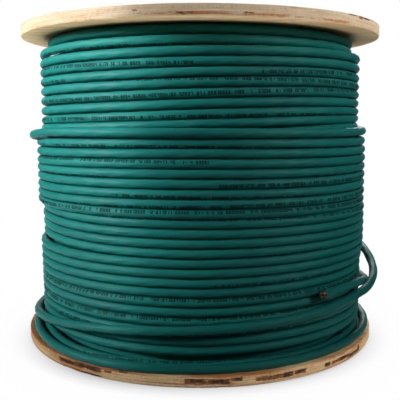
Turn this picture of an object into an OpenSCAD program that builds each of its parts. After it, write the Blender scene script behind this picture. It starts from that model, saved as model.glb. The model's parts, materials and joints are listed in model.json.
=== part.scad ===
// Cable reel: two plywood flanges bolted over a fibre drum, wound full with
// four-pair network cable whose outer end has come loose.
// Millimetres, +Z along the reel's axis, origin at the centre of the face
// that the reel stands on.

/* [Reel] */
// Overall height over both flanges
reel_h = 300; // [230:1:380]
// Diameter of each flange
flange_d = 350; // [345:1:440]
// Thickness of the plywood
flange_t = 9.5; // [8:0.5:15]
// Rounding of the sawn edges
edge_r = 0.8; // [0.2:0.1:2]
// Arbor hole through both flanges
arbor_d = 38; // [20:1:50]

/* [Drum] */
// Outside diameter of the drum tube
drum_d = 130; // [115:1:200]
// Wall of the drum tube
drum_wall = 5; // [2:0.5:8]
// How deep the tube sits in each flange
drum_seat = 3; // [1:0.5:4]

/* [Tie bolts] */
// Number of tie bolts inside the drum
bolt_count = 3; // [3:1:6]
// Diameter of the circle that the bolts stand on
bolt_circle_d = 84; // [74:1:96]
// Nominal diameter of a bolt
bolt_d = 6; // [5:0.5:8]
// Diameter of the domed bolt head
head_d = 16.5; // [12:0.5:20]
// Height of the domed bolt head
head_h = 3.8; // [2.5:0.1:4.5]
// Length of the square neck under the head
neck_l = 4; // [2:0.5:5]
// Outside diameter of a washer
washer_d = 18; // [14:0.5:24]
// Thickness of a washer
washer_t = 1.6; // [1:0.1:2]
// Width of a nut across its flats
nut_w = 10; // [8:0.5:13]
// Height of a nut
nut_h = 3.2; // [2.5:0.1:4]

/* [Cable] */
// Diameter of the cable's jacket
cable_d = 8; // [7.8:0.1:9.6]
// Wall of the jacket
jacket_wall = 0.8; // [0.4:0.1:1.2]
// Length of open jacket at the cut end
stub_l = 20; // [10:1:40]
// Diameter over a wire's insulation
wire_d = 1.25; // [1:0.05:1.4]
// Diameter of a copper conductor
copper_d = 0.6; // [0.4:0.05:0.8]
// Thickness of the cross-shaped separator
separator_t = 0.5; // [0.3:0.1:0.8]
// How far the wires stand out of the jacket
wire_proud = 1.2; // [0:0.1:5]

/* [Winding] */
// Diameter over the upper turns
pack_d = 315.6; // [300:0.1:330]
// Space left free beside each turn
turn_slack = 0.1; // [0.1:0.05:0.6]
// Turns between the top flange and the raised band
upper_loops = 10; // [6:1:14]
// Turns in the raised band
raised_loops = 9; // [4:1:12]
// How far the band stands out from the upper turns
band_rise = 6.4; // [4:0.1:8]
// How far the lower turns stand out from the upper turns
lower_rise = 5.2; // [2:0.1:8]

/* [Hidden] */
$fn = 96;

seat_gap = 0.3;              // between soft turns and what carries them
fit_gap = 0.2;               // round a piece that drops into its hole or groove
thread_gap = 0.1;            // between a nut and its bolt
overlap = 0.1;               // how far a cut runs past the face it opens
inner_h = reel_h - 2 * flange_t;
drum_r = drum_d / 2;
head_seat = head_h + 0.4;                  // counterbore that sinks the head
nut_seat = washer_t + nut_h + 0.6;         // counterbore that sinks washer and nut
bolt_end = reel_h - 0.2;

// Winding: turns are numbered from the top flange down, u is the turn number
// and its fraction, and u = 0 lies at the back. Seen from above the cable
// runs clockwise as it goes down.
rings = 22;                                // rings in a loop of tube
sides = 6;
tube_r = cable_d * 0.525;                  // hexagon about as full as the round cable
tube_half = tube_r * cos(180 / sides);
top_space = 2;
bottom_space = 3;
pack_loops = floor((inner_h - top_space - bottom_space) / (cable_d + turn_slack));
pitch = (inner_h - top_space - bottom_space) / pack_loops;
band_start = upper_loops;
band_end = upper_loops + raised_loops;
upper_r = (pack_d - cable_d) / 2;          // centre line of the upper turns
sunk_r = upper_r - 0.975 * cable_d;        // top turn, one layer further in
band_r = upper_r + band_rise;
lower_r = upper_r + lower_rise;
top_z = reel_h - flange_t - top_space;     // where u = 0 would lie
floor_z = flange_t + seat_gap + tube_half; // centre of a turn lying on the flange
upper_from = 3 / rings;
lower_from = band_end + 4 / rings;
lower_to = pack_loops - 2 / rings;

// Radius of the centre line, before the pack's lean
layer_r = [[0, sunk_r], [1.4, sunk_r], [1.8, upper_r], [band_start, upper_r],
    [band_start + 0.25, band_r + 1], [band_start + 0.75, band_r + 4.2],
    [band_start + 1, band_r], [band_end, band_r]];
lower_layer_r = [[band_end, lower_r], [pack_loops - 10, lower_r], [pack_loops - 8, lower_r - 1]];
// How far the centre line leans towards +X
lean = [[band_start + 1, 0], [band_start + 1.5, 1.2], [band_end, 1.2]];
lower_lean = [[band_end, 3], [pack_loops - 10, 3], [pack_loops - 8, 1.5]];
// Where a loop drops: 1 all at the front, -1 all at the back
drop_side = [[0, -1], [1.9, -1], [2.15, -0.1], [8, 1], [band_start - 0.15, 1],
    [band_start + 0.15, -1]];
// How far the sides hang below the front
side_sag = [[band_start, 0], [band_start + 1, 1]];
// How much further the lowest turn drops, onto the flange
last_drop = [[pack_loops - 1, 0], [pack_loops - 0.5, 5]];

// Loose cable, clockwise from above: [angle, distance out from a turn laid on
// the upper turns, height]. It leaves the band at the back, stands off at the
// right, crosses the lower turns, slips down onto the flange for a whole turn,
// climbs over itself at the back and ends under its own loop at the front right.
loose_route = [[90, band_rise - cable_d, 134.2], [80, 0.2, 134], [70, 3.8, 131],
    [58, 7.6, 123.5], [42, 8, 111], [28, 8.8, 99.5], [15, 8.9, 89.8], [4, 8.9, 82.2],
    [-4, 11, 77], [-10, 13.4, 71.2], [-16, 14.8, 66.6], [-22, 15, 62], [-28, 12.6, 57.2],
    [-35, 8.8, 54.6], [-46, 6.6, 52.2], [-68, 6.2, 48.3], [-90, 6, 45.3], [-112, 5.4, 41.5],
    [-132, 4.7, 36], [-147, 4.7, 31.4], [-162, 4.6, 27], [-175, 4.3, 23.5], [-190, 4, 22],
    [-206, 4, 21.2], [-226, 4.2, 16.8], [-250, 5.4, 13.5], [-290, 5.8, 13.5], [-340, 6.6, 13.5],
    [-366, 7, 13.5], [-390, 6.6, 13.5], [-412, 5.8, 13.5], [-430, 6, 13.5],
    [-450, 7.7, 13.5], [-474, 11, 13.5], [-492, 10.8, 13.5], [-511, 6.6, 13.5],
    [-530, 4.3, 13.5], [-551, 4.4, 13.5], [-567, 10, 13.6], [-582, 14.2, 20],
    [-597, 14.2, 27.5], [-614, 11, 33.5], [-636, 6.8, 38.5], [-670, 6.8, 44], [-702, 6.8, 48.5],
    [-722, 6.6, 51.6], [-734, 6.8, 56], [-745, 6, 61.6], [-754, 6.2, 64.4]];
loose_end = [-766, 6.8, 65.6];             // where the open jacket begins
free_top = 70;                             // the cut end lies lower than this
ring_step = 15;                            // most degrees from one ring to the next
loose_sides = 8;

// Places of the wires across the open jacket, one pair in each quadrant
wire_half = wire_d / 2 + 0.02;
wire_reach = cable_d / 2 - jacket_wall - 0.5 - wire_d / 2;
pair_r = sqrt(wire_reach * wire_reach - wire_half * wire_half);
wire_l = stub_l + wire_proud;

// ---- Functions ----

function radial(a) = [cos(a), sin(a), 0];
function along(a) = [sin(a), -cos(a), 0];
function turn_angle(u) = 90 - 360 * u;
function turn_r(u, layers, leans) = lookup(u, layers) + lookup(u, leans) * cos(turn_angle(u));
function turn_z(u) = max(floor_z, top_z - pitch * u + pitch / 4 * lookup(u, drop_side) * sin(360 * u)
    - lookup(u, side_sag) * (1 + cos(2 * turn_angle(u))) - lookup(u, last_drop));
function turn_at(u, layers, leans) =
    turn_r(u, layers, leans) * radial(turn_angle(u)) + [0, 0, turn_z(u)];

// One ring of a wound tube: a hexagon with its flats up and down
function wound_ring(centre, a) = [for (k = [0:sides - 1])
    centre + tube_r * cos(360 * k / sides) * radial(a) + [0, 0, tube_r * sin(360 * k / sides)]];

// Rings of a winding, which runs straight for one cable diameter at each end
function winding(from, to, layers, leans) =
    let (first = turn_at(from, layers, leans), last = turn_at(to, layers, leans),
        a0 = turn_angle(from), a1 = turn_angle(to))
    concat([wound_ring(first, a0), wound_ring(first + cable_d * along(a0), a0)],
        [for (i = [round(from * rings) + 1:round(to * rings) - 1])
            wound_ring(turn_at(i / rings, layers, leans), turn_angle(i / rings))],
        [wound_ring(last - cable_d * along(a1), a1), wound_ring(last, a1)]);

// Triangles round and at both ends of a tube of n rings with m sides
function tube_faces(n, m) = concat(
    [for (i = [0:n - 2], k = [0:m - 1]) let (j = (k + 1) % m)
        [i * m + k, (i + 1) * m + k, i * m + j]],
    [for (i = [0:n - 2], k = [0:m - 1]) let (j = (k + 1) % m)
        [i * m + j, (i + 1) * m + k, (i + 1) * m + j]],
    [for (k = [1:m - 2]) [0, k, k + 1]],
    [for (k = [1:m - 2]) [(n - 1) * m, (n - 1) * m + k + 1, (n - 1) * m + k]]);

// Least distance from a point to the segment p-q
function to_segment(c, p, q) = let (d = q - p, t = max(0, min(1, (c - p) * d / (d * d))))
    norm(c - p - t * d);
// Least gap between a winding's loops, from each corner to the edges of the next loop
function least_gap(w) = min([for (i = [2:len(w) - rings - 3], c = w[i], k = [0:sides - 1])
    to_segment(c, w[i + rings][k], w[i + rings][(k + 1) % sides])]);

// Smooth curve through the loose turn's points, in angle, radius and height
function smooth(p, i, t) = let (n = len(p), a = p[max(0, i - 1)], b = p[i], c = p[i + 1],
        d = p[min(n - 1, i + 2)])
    0.5 * (2 * b + (c - a) * t + (2 * a - 5 * b + 4 * c - d) * t * t
        + (3 * b - a - 3 * c + d) * t * t * t);
// Heights over free_top stretch so that the route starts where the band ends
function level(z) = z < free_top ? z
    : free_top + (z - free_top) * (turn_z(band_end) - free_top) / (loose_route[0][2] - free_top);
function place(p) = (upper_r + cable_d + p[1]) * radial(p[0])
    + [0, 0, max(flange_t + cable_d / 2, level(p[2]))];
loose_points = concat(loose_route, [loose_end]);
loose_path = concat(
    [for (i = [0:len(loose_points) - 2])
        let (n = ceil((loose_points[i][0] - loose_points[i + 1][0]) / ring_step))
        for (s = [0:n - 1]) place(smooth(loose_points, i, s / n))],
    [place(loose_end)]);
function unit(v) = v / norm(v);
function sum_length(p, i = 1) = i == len(p) ? 0 : norm(p[i] - p[i - 1]) + sum_length(p, i + 1);
end_dir = unit(loose_path[len(loose_path) - 1] - loose_path[len(loose_path) - 2]);
start_dir = along(90);
function path_dir(p, i) = i == 0 ? start_dir : i == len(p) - 1 ? end_dir : unit(p[i + 1] - p[i - 1]);
function free_ring(c, dir) = let (across = unit(cross(dir, [0, 0, 1])), up = cross(across, dir))
    [for (k = [0:loose_sides - 1]) c + cable_d / 2
        * (cos(360 * (k + 0.5) / loose_sides) * across + sin(360 * (k + 0.5) / loose_sides) * up)];

// ---- Reel ----

// Flange lying on z = 0 with its groove side up: edges rounded, ring groove for the drum
module flange_blank() {
    difference() {
        rotate_extrude() union() {
            translate([arbor_d / 2, 0]) square([flange_d / 2 - edge_r - arbor_d / 2, flange_t]);
            translate([arbor_d / 2, edge_r]) square([flange_d / 2 - arbor_d / 2, flange_t - 2 * edge_r]);
            for (y = [edge_r, flange_t - edge_r])
                translate([flange_d / 2 - edge_r, y]) circle(edge_r, $fn = 24);
        }
        translate([0, 0, flange_t - drum_seat]) difference() {
            cylinder(r = drum_r + fit_gap, h = drum_seat + overlap);
            translate([0, 0, -overlap])
                cylinder(r = drum_r - drum_wall - fit_gap, h = drum_seat + 3 * overlap);
        }
    }
}

module at_bolts() {
    for (i = [0:bolt_count - 1])
        rotate([0, 0, 360 * i / bolt_count + 90]) translate([bolt_circle_d / 2, 0, 0]) children();
}

module flange_bottom() {
    color("burlywood") difference() {
        flange_blank();
        at_bolts() {
            translate([0, 0, -overlap]) cylinder(d = head_d + 2 * fit_gap + 1, h = head_seat + overlap);
            translate([0, 0, head_seat - overlap])
                cylinder(d = bolt_d + 2 * fit_gap, h = flange_t - head_seat + 2 * overlap);
            translate([0, 0, head_seat + neck_l / 2]) cube([bolt_d + 2 * fit_gap,
                bolt_d + 2 * fit_gap, neck_l + 2 * overlap], center = true);
        }
    }
}

module flange_top() {
    color("burlywood") difference() {
        translate([0, 0, reel_h]) mirror([0, 0, 1]) flange_blank();
        at_bolts() {
            translate([0, 0, reel_h - nut_seat]) cylinder(d = washer_d + 1, h = nut_seat + overlap);
            translate([0, 0, reel_h - flange_t - overlap])
                cylinder(d = bolt_d + 2 * fit_gap, h = flange_t);
        }
    }
}

module core_tube() {
    color("tan") translate([0, 0, flange_t - drum_seat]) difference() {
        cylinder(r = drum_r, h = inner_h + 2 * drum_seat);
        translate([0, 0, -overlap])
            cylinder(r = drum_r - drum_wall, h = inner_h + 2 * drum_seat + 2 * overlap);
    }
}

// Carriage bolt: domed head below, square neck in the wood, bevelled end above
module tie_bolts() {
    dome_r = (head_h * head_h + head_d * head_d / 4) / (2 * head_h);
    color("silver") at_bolts() union() {
        intersection() {
            translate([0, 0, head_seat - head_h + dome_r]) sphere(dome_r);
            translate([0, 0, head_seat - head_h - overlap]) cylinder(d = head_d, h = head_h + overlap);
        }
        translate([0, 0, head_seat + (neck_l - overlap) / 2])
            cube([bolt_d, bolt_d, neck_l + overlap], center = true);
        translate([0, 0, head_seat]) cylinder(d = bolt_d, h = bolt_end - 1 - head_seat);
        translate([0, 0, bolt_end - 1]) cylinder(d1 = bolt_d, d2 = bolt_d - 1.2, h = 1);
    }
}

module washers() {
    color("lightgray") at_bolts() translate([0, 0, reel_h - nut_seat]) difference() {
        cylinder(d = washer_d, h = washer_t);
        translate([0, 0, -overlap]) cylinder(d = bolt_d + 2 * fit_gap, h = washer_t + 2 * overlap);
    }
}

// Thin hexagon nut, bevelled on both sides
module nuts() {
    corner_d = nut_w / cos(30);
    bevel = (corner_d - nut_w) / 2 * tan(30);
    color("silver") at_bolts() translate([0, 0, reel_h - nut_seat + washer_t]) difference() {
        intersection() {
            cylinder(d = corner_d, h = nut_h, $fn = 6);
            rotate_extrude() polygon([[0, 0], [nut_w / 2, 0], [corner_d / 2, bevel],
                [corner_d / 2, nut_h - bevel], [nut_w / 2, nut_h], [0, nut_h]]);
        }
        translate([0, 0, -overlap]) cylinder(d = bolt_d + 2 * thread_gap, h = nut_h + 2 * overlap);
    }
}

// ---- Wound cable ----

// Radius of the core under turns whose centre line comes as near as r
function under(r) = (r - tube_r) * cos(180 / rings) - seat_gap;

// End of an inner turn, where a winding comes out of the layers below
module inner_turn(u, layers, leans, swing) {
    r = turn_r(u, layers, leans);
    root_r = under(sunk_r) - 2;
    rotate([0, 0, turn_angle(u) - max(0, -swing)]) rotate_extrude(angle = abs(swing)) union() {
        translate([r, turn_z(u)]) circle(tube_half, $fn = 32);
        translate([root_r, turn_z(u) - cable_d / 4]) square([r - root_r, cable_d / 2]);
    }
}

// The packed inner layers, with a step under each zone of the outer turns
module wound_core() {
    top_step = top_z - 2 * pitch - seat_gap;
    upper_step = turn_z(band_start + 1 / 8) - tube_half - seat_gap;
    band_step = top_z - pitch * band_end;
    color("darkcyan") union() {
        rotate_extrude() polygon([[drum_r + seat_gap, flange_t], [under(lower_r - 3), flange_t],
            [under(lower_r - 3), band_step], [under(band_r - 1.2), band_step],
            [under(band_r - 1.2), upper_step], [under(upper_r), upper_step],
            [under(upper_r), top_step], [under(sunk_r), top_step],
            [under(sunk_r), reel_h - flange_t], [drum_r + seat_gap, reel_h - flange_t]]);
        inner_turn(upper_from, layer_r, lean, 10);
        inner_turn(lower_from, lower_layer_r, lower_lean, 6);
        inner_turn(lower_to, lower_layer_r, lower_lean, -10);
    }
}

module wound_tube(w) {
    polyhedron(points = [for (ring = w, p = ring) p], faces = tube_faces(len(w), sides));
}

upper = winding(upper_from, band_start, layer_r, lean);
raised = winding(band_start, band_end, layer_r, lean);
lower = winding(lower_from, lower_to, lower_layer_r, lower_lean);

module upper_turns() { color("mediumaquamarine") wound_tube(upper); }
module raised_turns() { color("lightseagreen") wound_tube(raised); }
module lower_turns() { color("mediumaquamarine") wound_tube(lower); }

// ---- Loose turn and its cut end ----

module loose_turn() {
    n = len(loose_path);
    color("turquoise") polyhedron(
        points = [for (i = [0:n - 1], p = free_ring(loose_path[i], path_dir(loose_path, i))) p],
        faces = tube_faces(n, loose_sides));
}

// Turns a piece modelled along +Z so that it runs on from the loose turn's end
module at_cut_end() {
    translate(place(loose_end))
        rotate([0, acos(end_dir[2]), atan2(end_dir[1], end_dir[0])]) children();
}

module jacket_end() {
    color("turquoise") at_cut_end() difference() {
        cylinder(d = cable_d, h = stub_l, $fn = 48);
        translate([0, 0, -overlap])
            cylinder(d = cable_d - 2 * jacket_wall, h = stub_l + 2 * overlap, $fn = 48);
    }
}

// Cross that keeps the four pairs apart
module separator() {
    span = cable_d - 2 * jacket_wall - 2 * seat_gap;
    color("white") at_cut_end() union() {
        translate([-span / 2, -separator_t / 2, 0]) cube([span, separator_t, stub_l]);
        translate([-separator_t / 2, -span / 2, 0]) cube([separator_t, span, stub_l]);
    }
}

module rip_cord() {
    color("ivory") at_cut_end() rotate([0, 0, 45])
        translate([cable_d / 2 - jacket_wall - 0.4, 0, 0]) cylinder(d = 0.5, h = wire_l, $fn = 16);
}

// Places children at one wire: pair 0 to 3, side -1 or 1
module at_wire(pair, side) {
    at_cut_end() rotate([0, 0, 45 + 90 * pair]) translate([pair_r, side * wire_half, 0]) children();
}

module wire(pair, side, shade) {
    color(shade) at_wire(pair, side) difference() {
        cylinder(d = wire_d, h = wire_l, $fn = 24);
        translate([0, 0, -overlap]) cylinder(d = copper_d + 0.04, h = wire_l + 2 * overlap, $fn = 24);
    }
}

module wire_blue() { wire(0, -1, "royalblue"); }
module wire_blue_white() { wire(0, 1, "lightblue"); }
module wire_orange() { wire(1, -1, "darkorange"); }
module wire_orange_white() { wire(1, 1, "moccasin"); }
module wire_green() { wire(2, -1, "green"); }
module wire_green_white() { wire(2, 1, "palegreen"); }
module wire_brown() { wire(3, -1, "saddlebrown"); }
module wire_brown_white() { wire(3, 1, "wheat"); }

module conductors() {
    color("chocolate") for (pair = [0:3], side = [-1, 1])
        at_wire(pair, side) cylinder(d = copper_d, h = wire_l + 0.4, $fn = 24);
}

echo(pitch = pitch, pack_loops = pack_loops);
echo(upper_gap = least_gap(upper), raised_gap = least_gap(raised), lower_gap = least_gap(lower));
echo(loose_rings = len(loose_path), loose_length = sum_length(loose_path) + stub_l);

flange_bottom();
flange_top();
core_tube();
tie_bolts();
washers();
nuts();
wound_core();
upper_turns();
raised_turns();
lower_turns();
loose_turn();
jacket_end();
separator();
rip_cord();
wire_blue();
wire_blue_white();
wire_orange();
wire_orange_white();
wire_green();
wire_green_white();
wire_brown();
wire_brown_white();
conductors();
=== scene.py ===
import json
import math

import bpy
import numpy as np
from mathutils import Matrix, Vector, noise


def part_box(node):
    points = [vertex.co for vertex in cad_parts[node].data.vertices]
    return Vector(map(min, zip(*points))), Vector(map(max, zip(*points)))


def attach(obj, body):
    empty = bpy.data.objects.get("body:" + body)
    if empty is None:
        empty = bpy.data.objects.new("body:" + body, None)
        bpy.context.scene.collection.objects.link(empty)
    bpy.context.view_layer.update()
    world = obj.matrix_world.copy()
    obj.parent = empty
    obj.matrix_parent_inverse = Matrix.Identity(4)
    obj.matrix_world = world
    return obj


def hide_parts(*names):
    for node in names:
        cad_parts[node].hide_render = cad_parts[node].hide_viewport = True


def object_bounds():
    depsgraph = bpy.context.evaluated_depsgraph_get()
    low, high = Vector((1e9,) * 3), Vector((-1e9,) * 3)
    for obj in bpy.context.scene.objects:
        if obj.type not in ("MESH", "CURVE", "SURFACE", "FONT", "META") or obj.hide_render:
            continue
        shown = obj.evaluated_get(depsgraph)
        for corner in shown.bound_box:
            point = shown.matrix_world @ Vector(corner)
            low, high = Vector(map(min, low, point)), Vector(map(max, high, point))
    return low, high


# Cable reel: two plywood flanges over a fibre drum, wound full with network cable.
# Metres, in the frame's own axes: Z up, origin under the middle of the reel.

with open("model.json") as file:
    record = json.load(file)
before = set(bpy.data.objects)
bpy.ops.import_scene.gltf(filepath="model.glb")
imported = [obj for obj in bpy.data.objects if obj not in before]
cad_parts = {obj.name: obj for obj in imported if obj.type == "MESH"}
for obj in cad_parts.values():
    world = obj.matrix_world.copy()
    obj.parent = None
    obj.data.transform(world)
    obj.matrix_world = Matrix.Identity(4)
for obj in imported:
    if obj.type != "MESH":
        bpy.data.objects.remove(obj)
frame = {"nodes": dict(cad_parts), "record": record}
cadLow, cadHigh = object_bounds()
nodes = frame["nodes"]

reelHeight = cadHigh.z
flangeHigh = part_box("flange_bottom")[1]
flangeRadius, flangeThick = flangeHigh.x, flangeHigh.z
arborRadius = frame["record"]["mounts"][0]["dims"]["r_mm"] / 1000
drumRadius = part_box("core_tube")[1].x


def deselectAll():
    if bpy.context.mode != "OBJECT":
        bpy.ops.object.mode_set(mode="OBJECT")
    bpy.ops.object.select_all(action="DESELECT")


def pick(obj):
    # makes one object the selected and active one
    deselectAll()
    obj.select_set(True)
    bpy.context.view_layer.objects.active = obj


def rgb(red, green, blue):
    # a colour picked on screen, 0 to 255, as Blender's linear colour
    def linear(c):
        c /= 255
        return c / 12.92 if c <= 0.04045 else ((c + 0.055) / 1.055) ** 2.4
    return (linear(red), linear(green), linear(blue), 1)


def node(tree, kind, **settings):
    made = tree.nodes.new(kind)
    for key, value in settings.items():
        setattr(made, key, value)
    return made


def feed(tree, socket, value):
    # a socket takes either another node's output or a plain value
    if isinstance(value, bpy.types.NodeSocket):
        tree.links.new(value, socket)
    elif value is not None:
        socket.default_value = value


def maths(tree, operation, a, b=None, c=None):
    made = node(tree, "ShaderNodeMath", operation=operation)
    for socket, value in zip(made.inputs, (a, b, c)):
        feed(tree, socket, value)
    return made.outputs[0]


def times(tree, a, b):
    return maths(tree, "MULTIPLY", a, b)


def plus(tree, a, b):
    return maths(tree, "ADD", a, b)


def minus(tree, a, b):
    return maths(tree, "SUBTRACT", a, b)


def mapRange(tree, value, low, high, toLow=0.0, toHigh=1.0, smooth=False):
    made = node(tree, "ShaderNodeMapRange")
    made.interpolation_type = "SMOOTHSTEP" if smooth else "LINEAR"
    for name, number in (("Value", value), ("From Min", low), ("From Max", high),
                         ("To Min", toLow), ("To Max", toHigh)):
        feed(tree, made.inputs[name], number)
    return made.outputs["Result"]


def mixColour(tree, factor, a, b):
    made = node(tree, "ShaderNodeMix", data_type="RGBA")
    feed(tree, made.inputs["Factor"], factor)
    feed(tree, made.inputs[6], a)
    feed(tree, made.inputs[7], b)
    return made.outputs[2]


def covered(tree, colour, mask, share, over):
    # lays another colour over this one where the mask is, as strongly as the share says
    return mixColour(tree, times(tree, mask, share), colour, over)


def swayed(tree, base, wave, amount):
    # moves a value up and down with a wave that runs round one half
    return maths(tree, "MULTIPLY_ADD", minus(tree, wave, 0.5), amount, base)


def stretched(tree, vector, scale, turn=(0, 0, 0), place=(0, 0, 0)):
    made = node(tree, "ShaderNodeMapping")
    feed(tree, made.inputs["Vector"], vector)
    made.inputs["Scale"].default_value = scale
    made.inputs["Rotation"].default_value = turn
    made.inputs["Location"].default_value = place
    return made.outputs["Vector"]


def noiseFac(tree, vector, scale, detail=2.0, roughness=0.5, distortion=0.0):
    # a scale of three numbers stretches the noise along X, Y and Z
    if isinstance(scale, tuple):
        vector, scale = stretched(tree, vector, scale), 1
    made = node(tree, "ShaderNodeTexNoise")
    feed(tree, made.inputs["Vector"], vector)
    for name, number in (("Scale", scale), ("Detail", detail), ("Roughness", roughness),
                         ("Distortion", distortion)):
        feed(tree, made.inputs[name], number)
    return made.outputs["Fac"]


def newGroup(name, inputs, outputs):
    tree = bpy.data.node_groups.new(name, "ShaderNodeTree")
    for label, kind, value in inputs:
        socket = tree.interface.new_socket(label, in_out="INPUT", socket_type=kind)
        if value is not None:
            socket.default_value = value
    for label, kind in outputs:
        tree.interface.new_socket(label, in_out="OUTPUT", socket_type=kind)
    entry = node(tree, "NodeGroupInput")
    exitNode = node(tree, "NodeGroupOutput")
    return tree, entry.outputs, exitNode.inputs


def useGroup(tree, group, **values):
    made = node(tree, "ShaderNodeGroup")
    made.node_tree = group
    for name, value in values.items():
        feed(tree, made.inputs[name], value)
    return made.outputs


def newMaterial(name):
    made = bpy.data.materials.new(name)
    made.use_nodes = True
    tree = made.node_tree
    tree.nodes.clear()
    shader = node(tree, "ShaderNodeBsdfPrincipled")
    output = node(tree, "ShaderNodeOutputMaterial")
    tree.links.new(shader.outputs[0], output.inputs["Surface"])
    return made, tree, shader.inputs


def bump(tree, height, distance):
    made = node(tree, "ShaderNodeBump")
    made.inputs["Distance"].default_value = distance
    feed(tree, made.inputs["Height"], height)
    return made.outputs["Normal"]


def objectPlace(tree):
    return node(tree, "ShaderNodeTexCoord").outputs["Object"]


def split(tree, vector):
    made = node(tree, "ShaderNodeSeparateXYZ")
    feed(tree, made.inputs[0], vector)
    return made.outputs


def painted(tree, name):
    # a value that the mesh carries at its points
    return node(tree, "ShaderNodeAttribute", attribute_name=name).outputs["Fac"]


def dress(tree, shader, colour, rough, height, depth):
    feed(tree, shader["Base Color"], colour)
    feed(tree, shader["Roughness"], rough)
    feed(tree, shader["Normal"], bump(tree, height, depth))


camera = {
    "place": (0, -0.67405, 0.21597),
    "lookDown": 7.29,       # degrees
    "lens": 58.68,
}


def makeCamera():
    deselectAll()
    tilt = math.radians(90 - camera["lookDown"])
    bpy.ops.object.camera_add(location=camera["place"], rotation=(tilt, 0, 0))
    made = bpy.context.object
    made.name = "mainCamera"
    made.data.lens = camera["lens"]
    made.data.sensor_width = 36
    bpy.context.scene.camera = made


makeCamera()
print("camera placed")


cable = {
    "diameter": 0.008,
    "wall": 0.0008,
    "openEnd": 0.020,       # jacket emptied of its filling at the cut end
    "lobes": 4,             # the four pairs press through the jacket
    "lay": 0.090,           # length in which they turn once round
    "lobeHeight": 0.00017,
    "lobeSink": 0.6,        # share of that height that the radius is drawn in by
    "sides": 20,
    "ringsPerTurn": 288,
    "wanderOut": 0.00022,   # a hand-wound layer is never quite even
    "wanderUp": 0.00010,
    "wandersPerTurn": 9,
    "outSeed": (3.1, 0.5),
    "upSeed": (8.7, 2.5),
    "creviceReach": 0.0014, # painted shade in the grooves reaches this near to the next turn
    "lip": 0.45,            # share of the wall that the cut edge is drawn in
    "innerRings": (0.0, 0.0, 0.25, 0.6, 1.0),   # from the cut to the opened end's bottom
}

winding = {
    "turns": 34,
    "bandStart": 10,
    "bandEnd": 19,
    "upperRadius": 0.1538,  # to the middle of the cable, as are all of these
    "sunkRadius": 0.1460,   # the first turn, under the top flange
    "bandRadius": 0.1602,
    "lowerRadius": 0.1590,
    "topHeight": 0.2885,
    "pitch": 0.276 / 34,
    "lowest": 0.013437,     # a turn that lies on the bottom flange
    "dive": 0.016,          # how deep an end sinks into the layers below
    "diveCurve": 1.6,
    "upperTail": 0.09,      # turns in which it sinks
    "lowerTail": 0.10,
    "lastTail": 0.08,
    "cadRing": 1 / 22,      # step from ring to ring of the CAD's windings, in turns
}

turns, bandStart, bandEnd = winding["turns"], winding["bandStart"], winding["bandEnd"]
upperRadius, bandRadius, lowerRadius = winding["upperRadius"], winding["bandRadius"], winding["lowerRadius"]
upperLayers = [(0, winding["sunkRadius"]), (1.3, winding["sunkRadius"]), (1.62, upperRadius),
               (bandStart, upperRadius), (bandStart + 0.25, bandRadius + 0.001),
               (bandStart + 0.78, bandRadius + 0.0064), (bandStart + 1, bandRadius),
               (bandEnd, bandRadius)]
lowerLayers = [(bandEnd, lowerRadius), (turns - 10, lowerRadius), (turns - 8, lowerRadius - 0.001)]
upperLean = [(bandStart + 1, 0), (bandStart + 1.5, 0.0012), (bandEnd, 0.0012)]
lowerLean = [(bandEnd, 0.003), (turns - 10, 0.003), (turns - 8, 0.0015)]
dropSide = [(0, -1), (1.2, -1), (1.6, 0), (2.15, 0.4), (4, 1.05), (6, 1.37), (8, 1.7),
            (bandStart - 0.2, 1.7), (bandStart + 0.15, -1)]
sideSag = [(bandStart, 0), (bandStart + 1, 0.001)]
lastDrop = [(turns - 1, 0), (turns - 0.5, 0.005)]

# Unevenness of the winding by turn: sag all round, sag and push at the left, lift at the right
evenSag = [(1.3, 0), (2, 0.00075), (4, 0.001), (6, 0.0012), (8, 0.0016), (9.3, 0.0016), (10, 0)]
bulgeSag = [(10.64, 0), (10.72, 0.0042), (10.78, 0.0074), (10.88, 0.0050), (11.05, 0)]
leftSag = [(11.3, 0), (11.75, 0.0016), (12.75, 0.0014), (13.75, 0.0010), (16.75, 0.0006), (18, 0)]
leftPush = [(19.2, 0), (19.6, -0.0022), (20.6, -0.0012), (22.9, -0.0020), (23.3, 0.0022),
            (24, 0.0013), (26, 0.0009), (29, 0.0004), (33, 0)]
lastPush = [(33.4, 0), (33.444, 0.001), (33.5, 0.003), (33.567, 0.0062), (33.617, 0.0060),
            (33.669, 0.0020), (33.722, 0)]
leftEdge = [(1.6, 0), (3.5, 0.0019), (6, 0.0016), (8.75, -0.0008), (9.6, 0), (12.2, 0), (13, -0.0012),
            (13.75, -0.0016), (14.75, 0), (17.5, 0), (18.75, 0.0012), (20.75, 0.0034), (22.9, 0.0027),
            (23.4, -0.0004), (27, 0), (29, 0.0019), (32, 0)]
rightEdge = [(2.4, 0), (4.2, -0.0031), (8.2, -0.0028), (9.6, 0)]
rightLift = [(12, 0), (19, 0.0010), (21, 0.0015), (24, 0.0031), (28, 0.0032), (33, 0.0028), (34, 0)]

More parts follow.
